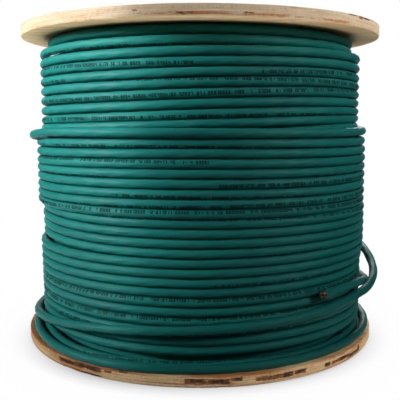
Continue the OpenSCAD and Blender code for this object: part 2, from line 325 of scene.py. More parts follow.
# The loose strand, clockwise from above: angle, distance out from a turn laid on
# the upper turns, height.
looseRoute = [
    (90, -0.0016, 0.1342), (80, 0.0002, 0.1340), (70, 0.0038, 0.1310), (58, 0.0076, 0.1235),
    (42, 0.0080, 0.1110), (28, 0.0088, 0.0995), (15, 0.0089, 0.0898), (4, 0.0089, 0.0822),
    (-4, 0.0110, 0.0770), (-10, 0.0134, 0.0712), (-16, 0.0148, 0.0666), (-22, 0.0150, 0.0620),
    (-28, 0.0126, 0.0572), (-35, 0.0088, 0.0546), (-46, 0.0066, 0.0522), (-68, 0.0062, 0.0483),
    (-90, 0.0060, 0.0453), (-112, 0.0054, 0.0415), (-132, 0.0047, 0.0360), (-147, 0.0047, 0.0314),
    (-162, 0.0046, 0.0270), (-175, 0.0043, 0.0235), (-190, 0.0040, 0.0220), (-206, 0.0040, 0.0212),
    (-226, 0.0042, 0.0168), (-250, 0.0054, 0.0135), (-290, 0.0058, 0.0135), (-340, 0.0066, 0.0135),
    (-366, 0.0070, 0.0135), (-390, 0.0066, 0.0135), (-412, 0.0058, 0.0135), (-430, 0.0060, 0.0135),
    (-450, 0.0077, 0.0135), (-474, 0.0110, 0.0135), (-492, 0.0108, 0.0135), (-511, 0.0066, 0.0135),
    (-530, 0.0043, 0.0135), (-551, 0.0044, 0.0135), (-567, 0.0100, 0.0136), (-582, 0.0142, 0.0200),
    (-597, 0.0142, 0.0275), (-614, 0.0110, 0.0335), (-636, 0.0068, 0.0385), (-670, 0.0068, 0.0440),
    (-702, 0.0068, 0.0485), (-722, 0.0066, 0.0516), (-734, 0.0068, 0.0560), (-745, 0.0060, 0.0616),
    (-754, 0.0062, 0.0644), (-766, 0.0068, 0.0656),
]
looseStep = 1.6             # most degrees from one ring to the next
openRings = 8
lowerPrintStart = 40.3      # where on the cable's length the lower turns' print begins


def lookUp(u, table):
    # a value at turn u, between the rows of a table of turns and values
    return float(np.interp(u, [row[0] for row in table], [row[1] for row in table]))


def onCircle(radius, degrees, height):
    angle = math.radians(degrees)
    return Vector((radius * math.cos(angle), radius * math.sin(angle), height))


def turnAngle(u):
    return 90 - 360 * u


def turnHeight(u):
    swing = winding["pitch"] / 4 * lookUp(u, dropSide) * math.sin(math.radians(360 * u))
    sag = lookUp(u, sideSag) * (1 + math.cos(math.radians(2 * turnAngle(u))))
    height = winding["topHeight"] - winding["pitch"] * u + swing - sag - lookUp(u, lastDrop)
    side = math.cos(math.radians(turnAngle(u)))
    height -= lookUp(u, evenSag) + lookUp(u, bulgeSag) + lookUp(u, leftSag) * max(0, -side)
    height += lookUp(u, rightLift) * (1 - (1 - max(0, side)) ** 2)
    height += lookUp(u, leftEdge if side < 0 else rightEdge) * side ** 4
    return max(winding["lowest"], height)


def turnPoint(u, layers, leans, sink=0.0):
    where = cable["wandersPerTurn"] * u
    outward = cable["wanderOut"] * noise.noise(Vector((where, *cable["outSeed"])))
    upward = cable["wanderUp"] * noise.noise(Vector((where, *cable["upSeed"])))
    side = math.cos(math.radians(turnAngle(u)))
    radius = lookUp(u, layers) + lookUp(u, leans) * side + lookUp(u, lastPush)
    if u > bandEnd:
        radius += lookUp(u, leftPush) * max(0, -side)
    return onCircle(radius + outward - sink, turnAngle(u), turnHeight(u) + upward)


def windingPath(start, end, layers, leans, startTail=0.0, endTail=0.0):
    # at a tail the strand dives into the layers below it
    points, turnNumbers = [], []
    whole = end - start + startTail + endTail
    count = round(whole * cable["ringsPerTurn"])
    for i in range(count + 1):
        u = start - startTail + whole * i / count
        before = max(0.0, start - u) / startTail if startTail else 0.0
        after = max(0.0, u - end) / endTail if endTail else 0.0
        sink = winding["dive"] * (before + after) ** winding["diveCurve"]
        point = turnPoint(u, layers, leans, sink)
        point.z = turnPoint(min(end, max(start, u)), layers, leans).z
        points.append(point)
        turnNumbers.append(u)
    return points, turnNumbers


def smooth(values, i, t):
    # Catmull-Rom through four neighbours
    a = values[max(0, i - 1)]
    b, c = values[i], values[i + 1]
    d = values[min(len(values) - 1, i + 2)]
    return 0.5 * (2 * b + (c - a) * t + (2 * a - 5 * b + 4 * c - d) * t ** 2
                  + (3 * b - a - 3 * c + d) * t ** 3)


def loosePath():
    route = [Vector(row) for row in looseRoute]
    lowest = flangeThick + cable["diameter"] / 2
    fromRadius = upperRadius + cable["diameter"]
    points = []
    for i in range(len(route) - 2):
        steps = math.ceil((route[i].x - route[i + 1].x) / looseStep)
        for s in range(steps):
            angle, out, height = smooth(route, i, s / steps)
            points.append(onCircle(fromRadius + out, angle, max(lowest, height)))
    points[0].z = turnHeight(bandEnd)
    # the last stretch runs straight, and on through the opened end
    before, cut = (onCircle(fromRadius + row.y, row.x, row.z) for row in route[-2:])
    points += [before.lerp(cut, i / openRings) for i in range(openRings + 1)]
    direction = (cut - before).normalized()
    points += [cut + direction * cable["openEnd"] * (i + 1) / openRings for i in range(openRings)]
    return points, direction


def ringFrames(points, lastDirection=None):
    centres = np.array([tuple(p) for p in points])
    ahead = np.vstack([centres[1:], centres[-1:]])
    behind = np.vstack([centres[:1], centres[:-1]])
    direction = ahead - behind
    if lastDirection is not None:
        direction[-1] = lastDirection
    direction /= np.linalg.norm(direction, axis=1)[:, None]
    across = np.cross(direction, (0, 0, 1))
    across /= np.linalg.norm(across, axis=1)[:, None]
    upward = np.cross(across, direction)
    return centres, across, upward


def ringPoints(centres, across, upward, radii, angles):
    sideways = (radii * np.cos(angles))[:, :, None] * across[:, None, :]
    raised = (radii * np.sin(angles))[:, :, None] * upward[:, None, :]
    return centres[:, None, :] + sideways + raised


def crevices(verts, turnNumbers):
    # how deep each point of a packed turn lies between its neighbours, 0 to 1; it masks the painted shade in
    # the grooves
    deepest = np.zeros(len(verts))
    for shift in (-1, 1):
        beside = []
        for u in turnNumbers:
            other = u + shift
            if not 0 < other < turns or (other < bandEnd) != (u < bandEnd):
                beside.append(Vector((0, 0, -1)))
            else:
                beside.append(turnPoint(other, *(aroundUpper if other < bandEnd else aroundLower)))
        beside = np.repeat(np.array([tuple(p) for p in beside]), cable["sides"], axis=0)
        gap = np.linalg.norm(verts - beside, axis=1) - cable["diameter"] / 2
        deepest = np.maximum(deepest, np.clip(1 - gap / cable["creviceReach"], 0, 1))
    return deepest


def cableMesh(name, points, start, lastDirection=None, turnNumbers=None):
    # One skin ring by ring, opened at the end if its last direction is given. Its map holds
    # metres along and the share round the cable, where 0 faces the drum, a quarter is on top
    # and a half faces outwards.
    sides = cable["sides"]
    radius = cable["diameter"] / 2
    centres, across, upward = ringFrames(points, lastDirection)
    lengths = np.linalg.norm(np.diff(centres, axis=0), axis=1)
    along = start + np.concatenate([[0], np.cumsum(lengths)])
    angles = 2 * math.pi * np.arange(sides) / sides
    turnOfLobes = 2 * math.pi * along[:, None] / cable["lay"]
    radii = radius + cable["lobeHeight"] * np.cos(cable["lobes"] * (angles[None, :] - turnOfLobes))
    radii -= cable["lobeHeight"] * cable["lobeSink"]
    rings = [ringPoints(centres, across, upward, radii, angles)]
    ringAlong = [along]
    if lastDirection:
        # the jacket's wall turns inside at the cut and runs back to a closed bottom
        last = slice(-1, None)
        for i, share in enumerate(cable["innerRings"]):
            back = share * cable["openEnd"]
            size = radius - cable["wall"] * (cable["lip"] if i == 0 else 1)
            centre = centres[last] - np.array([lastDirection]) * back
            rings.append(ringPoints(centre, across[last], upward[last],
                                    np.full((1, sides), size), angles[None, :]))
            ringAlong.append(along[last] + back)
    verts = np.concatenate([r.reshape(-1, 3) for r in rings])
    ringAlong = np.concatenate(ringAlong)
    count = len(ringAlong)
    faces, uvs = [], []
    for i in range(count - 1):
        for k in range(sides):
            j = (k + 1) % sides
            faces.append((i * sides + k, (i + 1) * sides + k, (i + 1) * sides + j, i * sides + j))
            left, right = k / sides, (k + 1) / sides
            here, beyond = ringAlong[i], ringAlong[i + 1]
            uvs += [here, left, beyond, left, beyond, right, here, right]
    for ring, order in ((0, range(sides)), (count - 1, range(sides - 1, -1, -1))):
        faces.append([ring * sides + k for k in order])
        for k in order:
            uvs += [ringAlong[ring], k / sides]
    mesh = bpy.data.meshes.new(name)
    mesh.from_pydata(verts.tolist(), [], faces)
    layer = mesh.uv_layers.new(name="cableMap")
    layer.uv.foreach_set("vector", np.array(uvs, dtype=np.float32))
    if turnNumbers:
        crevice = mesh.attributes.new("crevice", "FLOAT", "POINT")
        crevice.data.foreach_set("value", crevices(verts, turnNumbers))
    mesh.shade_smooth()
    obj = bpy.data.objects.new(name, mesh)
    bpy.context.collection.objects.link(obj)
    return obj, float(along[-1])


loosePoints, cutDirection = loosePath()

aroundUpper, aroundLower = (upperLayers, upperLean), (lowerLayers, lowerLean)
cadRing = winding["cadRing"]
upperPoints, upperNumbers = windingPath(3 * cadRing, bandStart, *aroundUpper, startTail=winding["upperTail"])
raisedPoints, raisedNumbers = windingPath(bandStart, bandEnd, *aroundUpper)
lowerPoints, lowerNumbers = windingPath(bandEnd + 4 * cadRing, turns - 2 * cadRing, *aroundLower,
                                        startTail=winding["lowerTail"], endTail=winding["lastTail"])

# One turn of the layer below shows at the right before it slips under the band. It lies a
# cable's width below the upper layer's turns, as far as those go.
tucked = {
    "steps": 72,
    "below": 0.0078,
    "lastAbove": 9.47,
    "sink": [(10.04, 0.010), (10.12, 0.004), (10.18, 0.0015), (10.25, 0), (10.36, 0), (10.46, 0.008)],
    "printStart": 31.7,     # where on the cable's length its print begins
}


def tuckedPath():
    start, end = tucked["sink"][0][0], tucked["sink"][-1][0]
    points = []
    for i in range(tucked["steps"] + 1):
        u = start + (end - start) * i / tucked["steps"]
        height = turnHeight(min(tucked["lastAbove"], u - 1)) - tucked["below"]
        points.append(onCircle(upperRadius - lookUp(u, tucked["sink"]), turnAngle(u), height))
    return points


tuckedTurn = cableMesh("tuckedTurn", tuckedPath(), tucked["printStart"])[0]
upperTurns, reached = cableMesh("upperTurns", upperPoints, 0.0, turnNumbers=upperNumbers)
raisedTurns, reached = cableMesh("raisedTurns", raisedPoints, reached, turnNumbers=raisedNumbers)
looseCable = cableMesh("looseCable", loosePoints, reached, lastDirection=tuple(cutDirection))[0]
lowerTurns = cableMesh("lowerTurns", lowerPoints, lowerPrintStart, turnNumbers=lowerNumbers)[0]

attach(tuckedTurn, "root")
for piece, replaced in ((upperTurns, ["upper_turns"]), (raisedTurns, ["raised_turns"]),
                        (lowerTurns, ["lower_turns"]), (looseCable, ["loose_turn", "jacket_end"])):
    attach(piece, "root")
    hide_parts(*replaced)


def makeJacketRelief():
    # drawn plastic: faint lines along it, patches of shade, small scuffs
    tree, given, result = newGroup(
        "jacketRelief",
        [("Along", "NodeSocketFloat", 0.0), ("Round", "NodeSocketFloat", 0.0)],
        [("Height", "NodeSocketFloat"), ("Shade", "NodeSocketFloat"), ("Scuff", "NodeSocketFloat")])
    turn = times(tree, given["Round"], 2 * math.pi)
    radius = cable["diameter"] / 2
    place = node(tree, "ShaderNodeCombineXYZ")
    feed(tree, place.inputs[0], given["Along"])
    feed(tree, place.inputs[1], times(tree, maths(tree, "COSINE", turn), radius))
    feed(tree, place.inputs[2], times(tree, maths(tree, "SINE", turn), radius))
    lines = noiseFac(tree, place.outputs[0], (30, 2600, 2600), 3)
    lumps = noiseFac(tree, place.outputs[0], (90, 260, 260), 2)
    patches = noiseFac(tree, place.outputs[0], (22, 130, 130), 3)
    scratches = noiseFac(tree, place.outputs[0], (160, 1500, 1500), 4, 0.7)
    height = plus(tree, times(tree, lines, 0.25), times(tree, lumps, 0.75))
    feed(tree, result["Height"], height)
    feed(tree, result["Shade"], patches)
    feed(tree, result["Scuff"], mapRange(tree, scratches, 0.62, 0.74, smooth=True))
    return tree


def makePrintedNumbers():
    # Rows of plain seven-bar digits with gaps and dashes, drawn along the cable
    text = {
        "digitStep": 0.0022,
        "digitTall": 0.0028,
        "place": 0.60,          # share round the cable
        "roll": 2.3,            # how far the print rolls round as the cable twists
        "rollScale": 0.62,      # rolls per metre
        "stringStep": 1.09,     # metres from one row of digits to the next
        "stringFull": 0.84,     # share of that which is printed
        "gaps": 0.2,            # share of the cells without a digit
        "dashes": 0.05,         # share with a dash instead
    }
    tree, given, result = newGroup(
        "printedNumbers",
        [("Along", "NodeSocketFloat", 0.0), ("Round", "NodeSocketFloat", 0.0)],
        [("Ink", "NodeSocketFloat")])
    rolled = node(tree, "ShaderNodeTexNoise", noise_dimensions="1D")
    feed(tree, rolled.inputs["W"], given["Along"])
    rolled.inputs["Scale"].default_value = text["rollScale"]
    rolled.inputs["Detail"].default_value = 0.5
    centre = swayed(tree, text["place"], rolled.outputs["Fac"], text["roll"])
    tall = text["digitTall"] / (math.pi * cable["diameter"])
    y = maths(tree, "MULTIPLY_ADD", minus(tree, centre, given["Round"]), 1 / tall, 0.5)
    cells = times(tree, given["Along"], -1 / text["digitStep"])
    cell = maths(tree, "FLOOR", cells)
    x = maths(tree, "FRACT", cells)

    def randomOf(shift):
        made = node(tree, "ShaderNodeTexWhiteNoise", noise_dimensions="1D")
        feed(tree, made.inputs["W"], plus(tree, cell, shift))
        return made.outputs["Value"]

    def near(value, centreValue, reach):
        return maths(tree, "COMPARE", value, centreValue, reach)

    def total(parts):
        added = parts[0]
        for part in parts[1:]:
            added = plus(tree, added, part)
        return added

    digit = maths(tree, "FLOOR", times(tree, randomOf(0.5), 10))
    gap = randomOf(31.5)
    shown = maths(tree, "GREATER_THAN", gap, text["gaps"])
    dash = times(tree, maths(tree, "LESS_THAN", gap, text["dashes"]), near(y, 0.5, 0.07))
    isDigit = [near(digit, k, 0.1) for k in range(10)]
    left, middle, right = near(x, 0.17, 0.15), near(x, 0.43, 0.39), near(x, 0.69, 0.15)
    top, centreRow, bottom = near(y, 0.91, 0.14), near(y, 0.5, 0.12), near(y, 0.09, 0.14)
    upper, lower = near(y, 0.75, 0.25), near(y, 0.25, 0.25)
    # each bar with the digits that lack it
    bars = [
        (middle, top, (1, 4)),
        (right, upper, (5, 6)),
        (right, lower, (2,)),
        (middle, bottom, (1, 4, 7)),
        (left, lower, (1, 3, 4, 5, 7, 9)),
        (left, upper, (1, 2, 3, 7)),
        (middle, centreRow, (0, 1, 7)),
    ]
    drawn = []
    for column, row, missing in bars:
        absent = total([isDigit[k] for k in missing])
        drawn.append(times(tree, times(tree, column, row), minus(tree, 1.0, absent)))
    ink = times(tree, maths(tree, "MINIMUM", total(drawn), 1.0), shown)
    ink = maths(tree, "MAXIMUM", ink, dash)
    onString = maths(tree, "FRACT", maths(tree, "DIVIDE", given["Along"], text["stringStep"]))
    inString = maths(tree, "LESS_THAN", onString, text["stringFull"])
    feed(tree, result["Ink"], times(tree, ink, inString))
    return tree


def makeWoodGrain():
    # Veneer: growth lines as contours of a stretched field, fibres and pores between them.
    # The grain runs along X of the given vector.
    tree, given, result = newGroup(
        "woodGrain",
        [("Vector", "NodeSocketVector", None), ("Lines", "NodeSocketFloat", 12.0)],
        [("Growth", "NodeSocketFloat"), ("Fibre", "NodeSocketFloat"), ("Pores", "NodeSocketFloat"),
         ("Height", "NodeSocketFloat")])
    field = noiseFac(tree, given["Vector"], (2.2, 9.5, 9.5), 2.5, 0.45, 0.35)
    growth = maths(tree, "PINGPONG", times(tree, field, given["Lines"]), 0.5)
    growth = mapRange(tree, growth, 0.04, 0.46, smooth=True)
    fibre = noiseFac(tree, given["Vector"], (26, 900, 900), 4, 0.6)
    pores = noiseFac(tree, given["Vector"], (110, 1900, 1900), 2, 0.6)
    pores = mapRange(tree, pores, 0.62, 0.72, smooth=True)
    height = minus(tree, times(tree, fibre, 0.7), times(tree, pores, 0.5))
    feed(tree, result["Growth"], growth)
    feed(tree, result["Fibre"], fibre)
    feed(tree, result["Pores"], pores)
    feed(tree, result["Height"], height)
    return tree


def makeHandling():
    # dust and grey handling marks that any part of a stored reel picks up
    tree, given, result = newGroup(
        "handling",
        [("Vector", "NodeSocketVector", None), ("Amount", "NodeSocketFloat", 0.5)],
        [("Dust", "NodeSocketFloat"), ("Wear", "NodeSocketFloat")])
    cloud = noiseFac(tree, given["Vector"], 38, 5, 0.62)
    specks = noiseFac(tree, given["Vector"], 1400, 2, 0.5)
    dust = mapRange(tree, cloud, 0.52, 0.78, smooth=True)
    feed(tree, result["Dust"], times(tree, dust, given["Amount"]))
    wear = times(tree, mapRange(tree, specks, 0.66, 0.76, smooth=True), given["Amount"])
    feed(tree, result["Wear"], wear)
    return tree


jacketRelief = makeJacketRelief()
printedNumbers = makePrintedNumbers()
woodGrain = makeWoodGrain()
handling = makeHandling()


jacketLook = {
    "base": rgb(24, 119, 112),
    "deep": rgb(17, 106, 102),
    "faded": rgb(56, 148, 134),
    "ink": rgb(2, 10, 12),
    # colour and strength of the painted shade in the grooves between packed turns
    "creviceShadeColour": rgb(2, 20, 22),
    "creviceShade": 0.8,
    "rough": (0.44, 0.54),
    "inkRough": 0.95,
    "gloss": 0.12,
    "relief": 0.00012,
    "packedRelief": 0.0004,
    "packedRidge": 12,      # how far the turns inside the pack stand out, in reliefs
    "dust": rgb(150, 165, 158),
}


def jacketMaterial(name, printed):
    made, tree, shader = newMaterial(name)
    if printed:
        along, around = split(tree, node(tree, "ShaderNodeUVMap", uv_map="cableMap").outputs[0])[:2]
    else:
        # turns inside the pack: angle and height stand in for the cable's own map
        x, y, z = split(tree, objectPlace(tree))
        along = times(tree, maths(tree, "ARCTAN2", y, x), upperRadius)
        around = maths(tree, "DIVIDE", z, winding["pitch"])
    relief = useGroup(tree, jacketRelief, Along=along, Round=around)
    marks = useGroup(tree, handling, Vector=objectPlace(tree), Amount=0.35)
    shade = mapRange(tree, relief["Shade"], 0.3, 0.7)
    colour = mixColour(tree, shade, jacketLook["deep"], jacketLook["base"])
    colour = covered(tree, colour, relief["Scuff"], 0.25, jacketLook["faded"])
    colour = covered(tree, colour, marks["Dust"], 0.12, jacketLook["dust"])
    rough = mapRange(tree, relief["Shade"], 0.3, 0.7, *jacketLook["rough"])
    height, depth = relief["Height"], jacketLook["relief"]
    if printed:
        ink = useGroup(tree, printedNumbers, Along=along, Round=around)["Ink"]
        worn = mapRange(tree, relief["Scuff"], 0.0, 1.0, 0.96, 0.5)
        ink = times(tree, ink, worn)
        colour = mixColour(tree, ink, colour, jacketLook["ink"])
        rough = maths(tree, "MAXIMUM", rough, times(tree, ink, jacketLook["inkRough"]))
        # painted shade: the jacket darkens where the next turn lies close, as shade falls in the groove
        creviceShade = mapRange(tree, painted(tree, "crevice"), 0.1, 0.9, 0, jacketLook["creviceShade"])
        colour = mixColour(tree, creviceShade, colour, jacketLook["creviceShadeColour"])
    else:
        ridge = maths(tree, "PINGPONG", maths(tree, "DIVIDE", z, winding["pitch"] / 2), 1)
        height = plus(tree, height, times(tree, ridge, jacketLook["packedRidge"]))
        depth = jacketLook["packedRelief"]
    dress(tree, shader, colour, rough, height, depth)
    shader["Specular IOR Level"].default_value = jacketLook["gloss"]
    return made


printedJacket = jacketMaterial("printedJacket", True)
packedJacket = jacketMaterial("packedJacket", False)


def cutJacketMaterial():
    # the pale inside and the cut lip of the jacket
    made, tree, shader = newMaterial("cutJacket")
    place = objectPlace(tree)
    grain = noiseFac(tree, place, 900, 3)
    marks = useGroup(tree, handling, Vector=place, Amount=0.5)
    colour = mixColour(tree, mapRange(tree, grain, 0.35, 0.65), rgb(46, 112, 100), rgb(92, 152, 136))
    colour = mixColour(tree, marks["Dust"], colour, rgb(150, 176, 166))
    rough = mapRange(tree, grain, 0.3, 0.7, 0.5, 0.7)
    dress(tree, shader, colour, rough, grain, 0.00008)
    return made


for piece in (tuckedTurn, upperTurns, raisedTurns, lowerTurns, looseCable):
    piece.data.materials.append(printedJacket)
looseCable.data.materials.append(cutJacketMaterial())
# the last rings of faces lie inside the opened end, and so does the last cap
sides = cable["sides"]
outerFaces = (len(loosePoints) - 1) * sides
innerFaces = range(outerFaces, outerFaces + len(cable["innerRings"]) * sides)
for face in looseCable.data.polygons:
    if face.index in innerFaces or face.index == len(looseCable.data.polygons) - 1:
        face.material_index = 1


def setMaterial(name, material):
    data = nodes[name].data
    data.materials.clear()
    data.materials.append(material)


setMaterial("wound_core", packedJacket)
print("jacket finished")


flange = {
    "steps": 720,           # round the rim
    "rimRows": 12,
    "edge": 0.0008,
    "edgeSteps": 4,
    "innerRing": 0.12,      # radius of a ring of points on each face
    "outerRing": 0.006,     # how far inside the edge the next one lies
    "grooveDeep": 0.003,
    "drumWall": 0.005,
    "fitGap": 0.0002,
    "rimDeep": 0.003,       # the sawn rim's points lie this near to the edge
    "stainDeep": 0.007,     # a stain spreads this far in over the face
    "sawWave": 0.00035,
    "sawFuzz": 0.00012,
    "chip": 0.0011,
    "chipReach": 0.0022,    # chips break out this near to the faces
    "torn": 0.0010,
    "levelFacet": 0.75,     # a facet this level belongs to a face, not to the rim
}

# Torn knots and cracks on the sawn rims, drawn dark: the knots' own colour, with painted shade in the torn
# hollows and cracks. Angles from and to, heights from and to over the flange's own thickness in millimetres,
# and how dark
bottomMarks = [
    (-135, -127, 4.0, 7.4, 1.0), (-128, -118, 4.6, 8.6, 1.0), (-125, -118, 0.0, 1.8, 1.0),
    (-133, -127, 0.0, 1.2, 0.8), (-117, -115, 5.8, 7.4, 0.7), (-112, -110, 8.0, 9.2, 0.7),
    (-94, -88, 3.6, 7.8, 0.85), (-88, -82, 3.0, 7.0, 1.0), (-81.5, -79, 4.8, 8.0, 0.9),
    (-97, -82, 0.0, 0.9, 0.9), (-75, -66, 3.0, 6.6, 0.7), (-66.5, -64, 3.0, 7.2, 1.0),
    (-63, -59.5, 3.6, 7.0, 0.95), (-52, -50, 2.4, 6.6, 0.8), (-49, -46, 3.8, 5.8, 0.75),
    (-46, -40, 3.4, 6.2, 0.95), (-41, -33, 2.0, 5.0, 1.0), (-34, -33, 3.0, 8.6, 0.9),
    (20, 34, 3.0, 6.4, 0.9), (78, 84, 1.0, 5.0, 0.9), (96, 99, 6.0, 8.0, 0.8),
    (131, 139, 5.5, 8.6, 0.95), (171, 176, 3.4, 4.6, 0.8),
]
topMarks = [
    (-95.4, -94.6, 2.2, 3.2, 0.8), (-94.3, -93.5, 1.2, 1.8, 0.9), (-92.9, -92.2, 2.2, 3.2, 0.8),
    (-79, -77.2, 2.4, 3.2, 0.9), (-107, -106, 4.8, 5.4, 0.5), (-46, -41, 8.6, 9.4, 0.95),
    (-40, -38, 7.2, 8.8, 0.9), (-37, -33, 8.0, 8.8, 0.95), (15, 22, 2.0, 5.4, 0.9),
    (64, 90, 6.2, 7.4, 0.75), (140, 146, 4.0, 7.0, 0.95), (-178, -170, 1.0, 2.0, 0.5),
]
# Resin and rust-coloured stains, in the same form
bottomStains = [
    (-180, -98, 8.1, 9.8, 1.0), (-98, -62, 8.4, 9.8, 0.8), (-62, -16, 8.0, 9.8, 0.6),
    (-180, -143, 0.0, 8.0, 0.35),
    (-142, -116, 2.6, 9.0, 0.65), (-136, -118, 0.0, 2.6, 0.9), (-98, -78, 1.6, 8.2, 0.65),
    (-76, -58, 2.2, 7.8, 0.6), (-54, -30, 1.6, 7.4, 0.65), (60, 120, 8.2, 9.8, 0.9),
    (16, 38, 2.2, 7.2, 0.5), (128, 142, 4.5, 9.2, 0.5), (-180, -168, 2.4, 5.6, 0.4),
    (150, 180, 8.6, 9.6, 0.8),
]
topStains = [
    (-106, -98, 1.2, 2.8, 0.65), (-98, -80, 0.9, 3.8, 1.0), (-80, -66, 0.7, 3.0, 0.9),
    (-66, -58, 0.9, 2.6, 0.6), (-58, -45, 0.5, 2.8, 1.0), (-72, -60, 7.6, 8.8, 0.5),
    (-130, -112, 3.4, 5.2, 0.3), (12, 26, 1.4, 6.0, 0.6), (60, 94, 5.6, 8.0, 0.5), (138, 148, 3.4, 7.6, 0.6),
]


def flangeProfile():
    # half section of a flange that lies on z = 0 with its drum groove on top
    edge, thick, radius = flange["edge"], flangeThick, flangeRadius
    inner = drumRadius - flange["drumWall"] - flange["fitGap"]
    outer = drumRadius + flange["fitGap"]
    floorZ = thick - flange["grooveDeep"]
    near, far = flange["innerRing"], radius - flange["outerRing"]
    steps, rows = flange["edgeSteps"], flange["rimRows"]

    def rounded(fromAngle, centreZ):
        angles = [math.radians(fromAngle - 90 * i / steps) for i in range(steps + 1)]
        return [(radius - edge + edge * math.cos(a), centreZ + edge * math.sin(a)) for a in angles]

    points = [(arborRadius, 0), (arborRadius, thick / 2), (arborRadius, thick), (inner, thick),
              (inner, floorZ), (outer, floorZ), (outer, thick), (near, thick), (far, thick)]
    points += rounded(90, thick - edge)
    points += [(radius, thick - edge - (thick - 2 * edge) * i / rows) for i in range(1, rows)]
    points += rounded(0, edge)
    return points + [(far, 0), (near, 0)]


def marksAt(marks, degrees, height):
    # how much a mark covers this place on the rim, 0 to 1
    softRound, softUp = 0.5, 0.3        # its soft border in degrees and in millimetres
    most = 0.0
    for fromAngle, toAngle, low, high, dark in marks:
        middle = (fromAngle + toAngle) / 2
        away = abs((degrees - middle + 180) % 360 - 180) / ((toAngle - fromAngle) / 2 + softRound)
        rise = abs(height * 1000 - (low + high) / 2) / ((high - low) / 2 + softUp)
        cover = max(0.0, 1 - max(away, rise) ** 3)
        most = max(most, dark * cover)
    return most


def roughenRim(mesh, marks, stains, seed):
    # the saw leaves slow waves, torn fibres and a few chips, all cut inwards
    def noiseShare(place):
        return 0.5 + 0.5 * noise.noise(place)

    knotsAndHollows, stained = [], []
    for vert in mesh.vertices:
        x, y, z = vert.co
        radius = math.hypot(x, y)
        degrees = math.degrees(math.atan2(y, x))
        if radius < flangeRadius - flange["rimDeep"]:
            onStain = radius > flangeRadius - flange["stainDeep"]
            knotsAndHollows.append(0.0)
            stained.append(0.8 * marksAt(stains, degrees, z) if onStain else 0.0)
            continue
        direction = Vector((x, y, 0)) / radius
        slow = noiseShare(direction * 5 + Vector((seed, 0, 0)))
        fine = noiseShare(Vector((x * 320, y * 320, z * 700 + seed)))
        ply = noiseShare(Vector((x * 40, y * 40, z * 900 + seed)))
        chipNoise = noise.noise(direction * 26 + Vector((0, seed, z * 260)))
        nearFace = max(0.0, 1 - min(z, flangeThick - z) / flange["chipReach"])
        chip = max(0.0, chipNoise - 0.33) * 3 * nearFace
        mark = marksAt(marks, degrees, z)
        inward = flange["sawWave"] * slow + flange["sawFuzz"] * (fine + ply)
        inward += flange["chip"] * chip + flange["torn"] * mark * fine
        vert.co.xy = direction.xy * (radius - inward)
        knotsAndHollows.append(mark)
        stained.append(max(marksAt(stains, degrees, z), min(1.0, chip) * 0.6))
    for name, values in (("knotsAndHollows", knotsAndHollows), ("stained", stained)):
        mesh.attributes.new(name, "FLOAT", "POINT").data.foreach_set("value", values)


boltHole = 0.0064
bolts = {
    "count": 3,
    "first": 90,            # degrees
    "circle": 0.042,
    # what is cut out for each: shape, size across, from and to height
    "bottomSeats": [("round", 0.0179, -0.001, 0.0042), ("square", boltHole, 0.0041, 0.0083),
                    ("round", boltHole, 0.004, 0.012)],
    "topSeats": [("round", 0.019, reelHeight - 0.0054, reelHeight + 0.001),
                 ("round", boltHole, reelHeight - 0.02, reelHeight)],
}


def cutBoltSeats(obj, seats):
    for kind, size, low, high in seats:
        deselectAll()
        made = []
        for i in range(bolts["count"]):
            degrees = bolts["first"] + 360 / bolts["count"] * i
            where = onCircle(bolts["circle"], degrees, (low + high) / 2)
            if kind == "round":
                bpy.ops.mesh.primitive_cylinder_add(vertices=72, radius=size / 2, depth=high - low,
                                                    location=where)
            else:
                bpy.ops.mesh.primitive_cube_add(size=1, location=where,
                                                rotation=(0, 0, math.radians(degrees)))
                bpy.context.object.scale = (size, size, high - low)
            made.append(bpy.context.object)
        deselectAll()
        for cutter in made:
            cutter.select_set(True)
        bpy.context.view_layer.objects.active = made[0]
        bpy.ops.object.join()
        cutter = bpy.context.object
        pick(obj)
        modifier = obj.modifiers.new("seat", "BOOLEAN")
        modifier.operation = "DIFFERENCE"
        modifier.solver = "EXACT"
        modifier.object = cutter
        bpy.ops.object.modifier_apply(modifier=modifier.name)
        bpy.data.objects.remove(cutter)


def makeFlange(name, marks, stains, seed, upsideDown, seats, nodeName):
    profile = flangeProfile()
    mesh = bpy.data.meshes.new(name)
    count = len(profile)
    mesh.from_pydata([(r, 0, z) for r, z in profile], [(i, (i + 1) % count) for i in range(count)], [])
    obj = bpy.data.objects.new(name, mesh)
    bpy.context.collection.objects.link(obj)
    pick(obj)
    bpy.ops.object.mode_set(mode="EDIT")
    bpy.ops.mesh.select_all(action="SELECT")
    bpy.ops.mesh.spin(steps=flange["steps"], angle=2 * math.pi, center=(0, 0, 0), axis=(0, 0, 1))
    bpy.ops.mesh.select_all(action="SELECT")
    bpy.ops.mesh.remove_doubles(threshold=0.00001)
    bpy.ops.mesh.normals_make_consistent(inside=False)
    bpy.ops.object.mode_set(mode="OBJECT")
    if upsideDown:
        for vert in mesh.vertices:
            vert.co.z = flangeThick - vert.co.z
        mesh.flip_normals()
    roughenRim(mesh, marks, stains, seed)
    base = reelHeight - flangeThick if upsideDown else 0
    for vert in mesh.vertices:
        vert.co.z += base
    cutBoltSeats(obj, seats)
    pick(obj)
    bpy.ops.object.shade_smooth_by_angle(angle=math.radians(35))
    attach(obj, "root")
    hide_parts(nodeName)
    return obj


bottomFlange = makeFlange("bottomFlange", bottomMarks, bottomStains, 4.3, False, bolts["bottomSeats"],
                          "flange_bottom")
topFlange = makeFlange("topFlange", topMarks, topStains, 11.9, True, bolts["topSeats"], "flange_top")
print("flanges sawn")


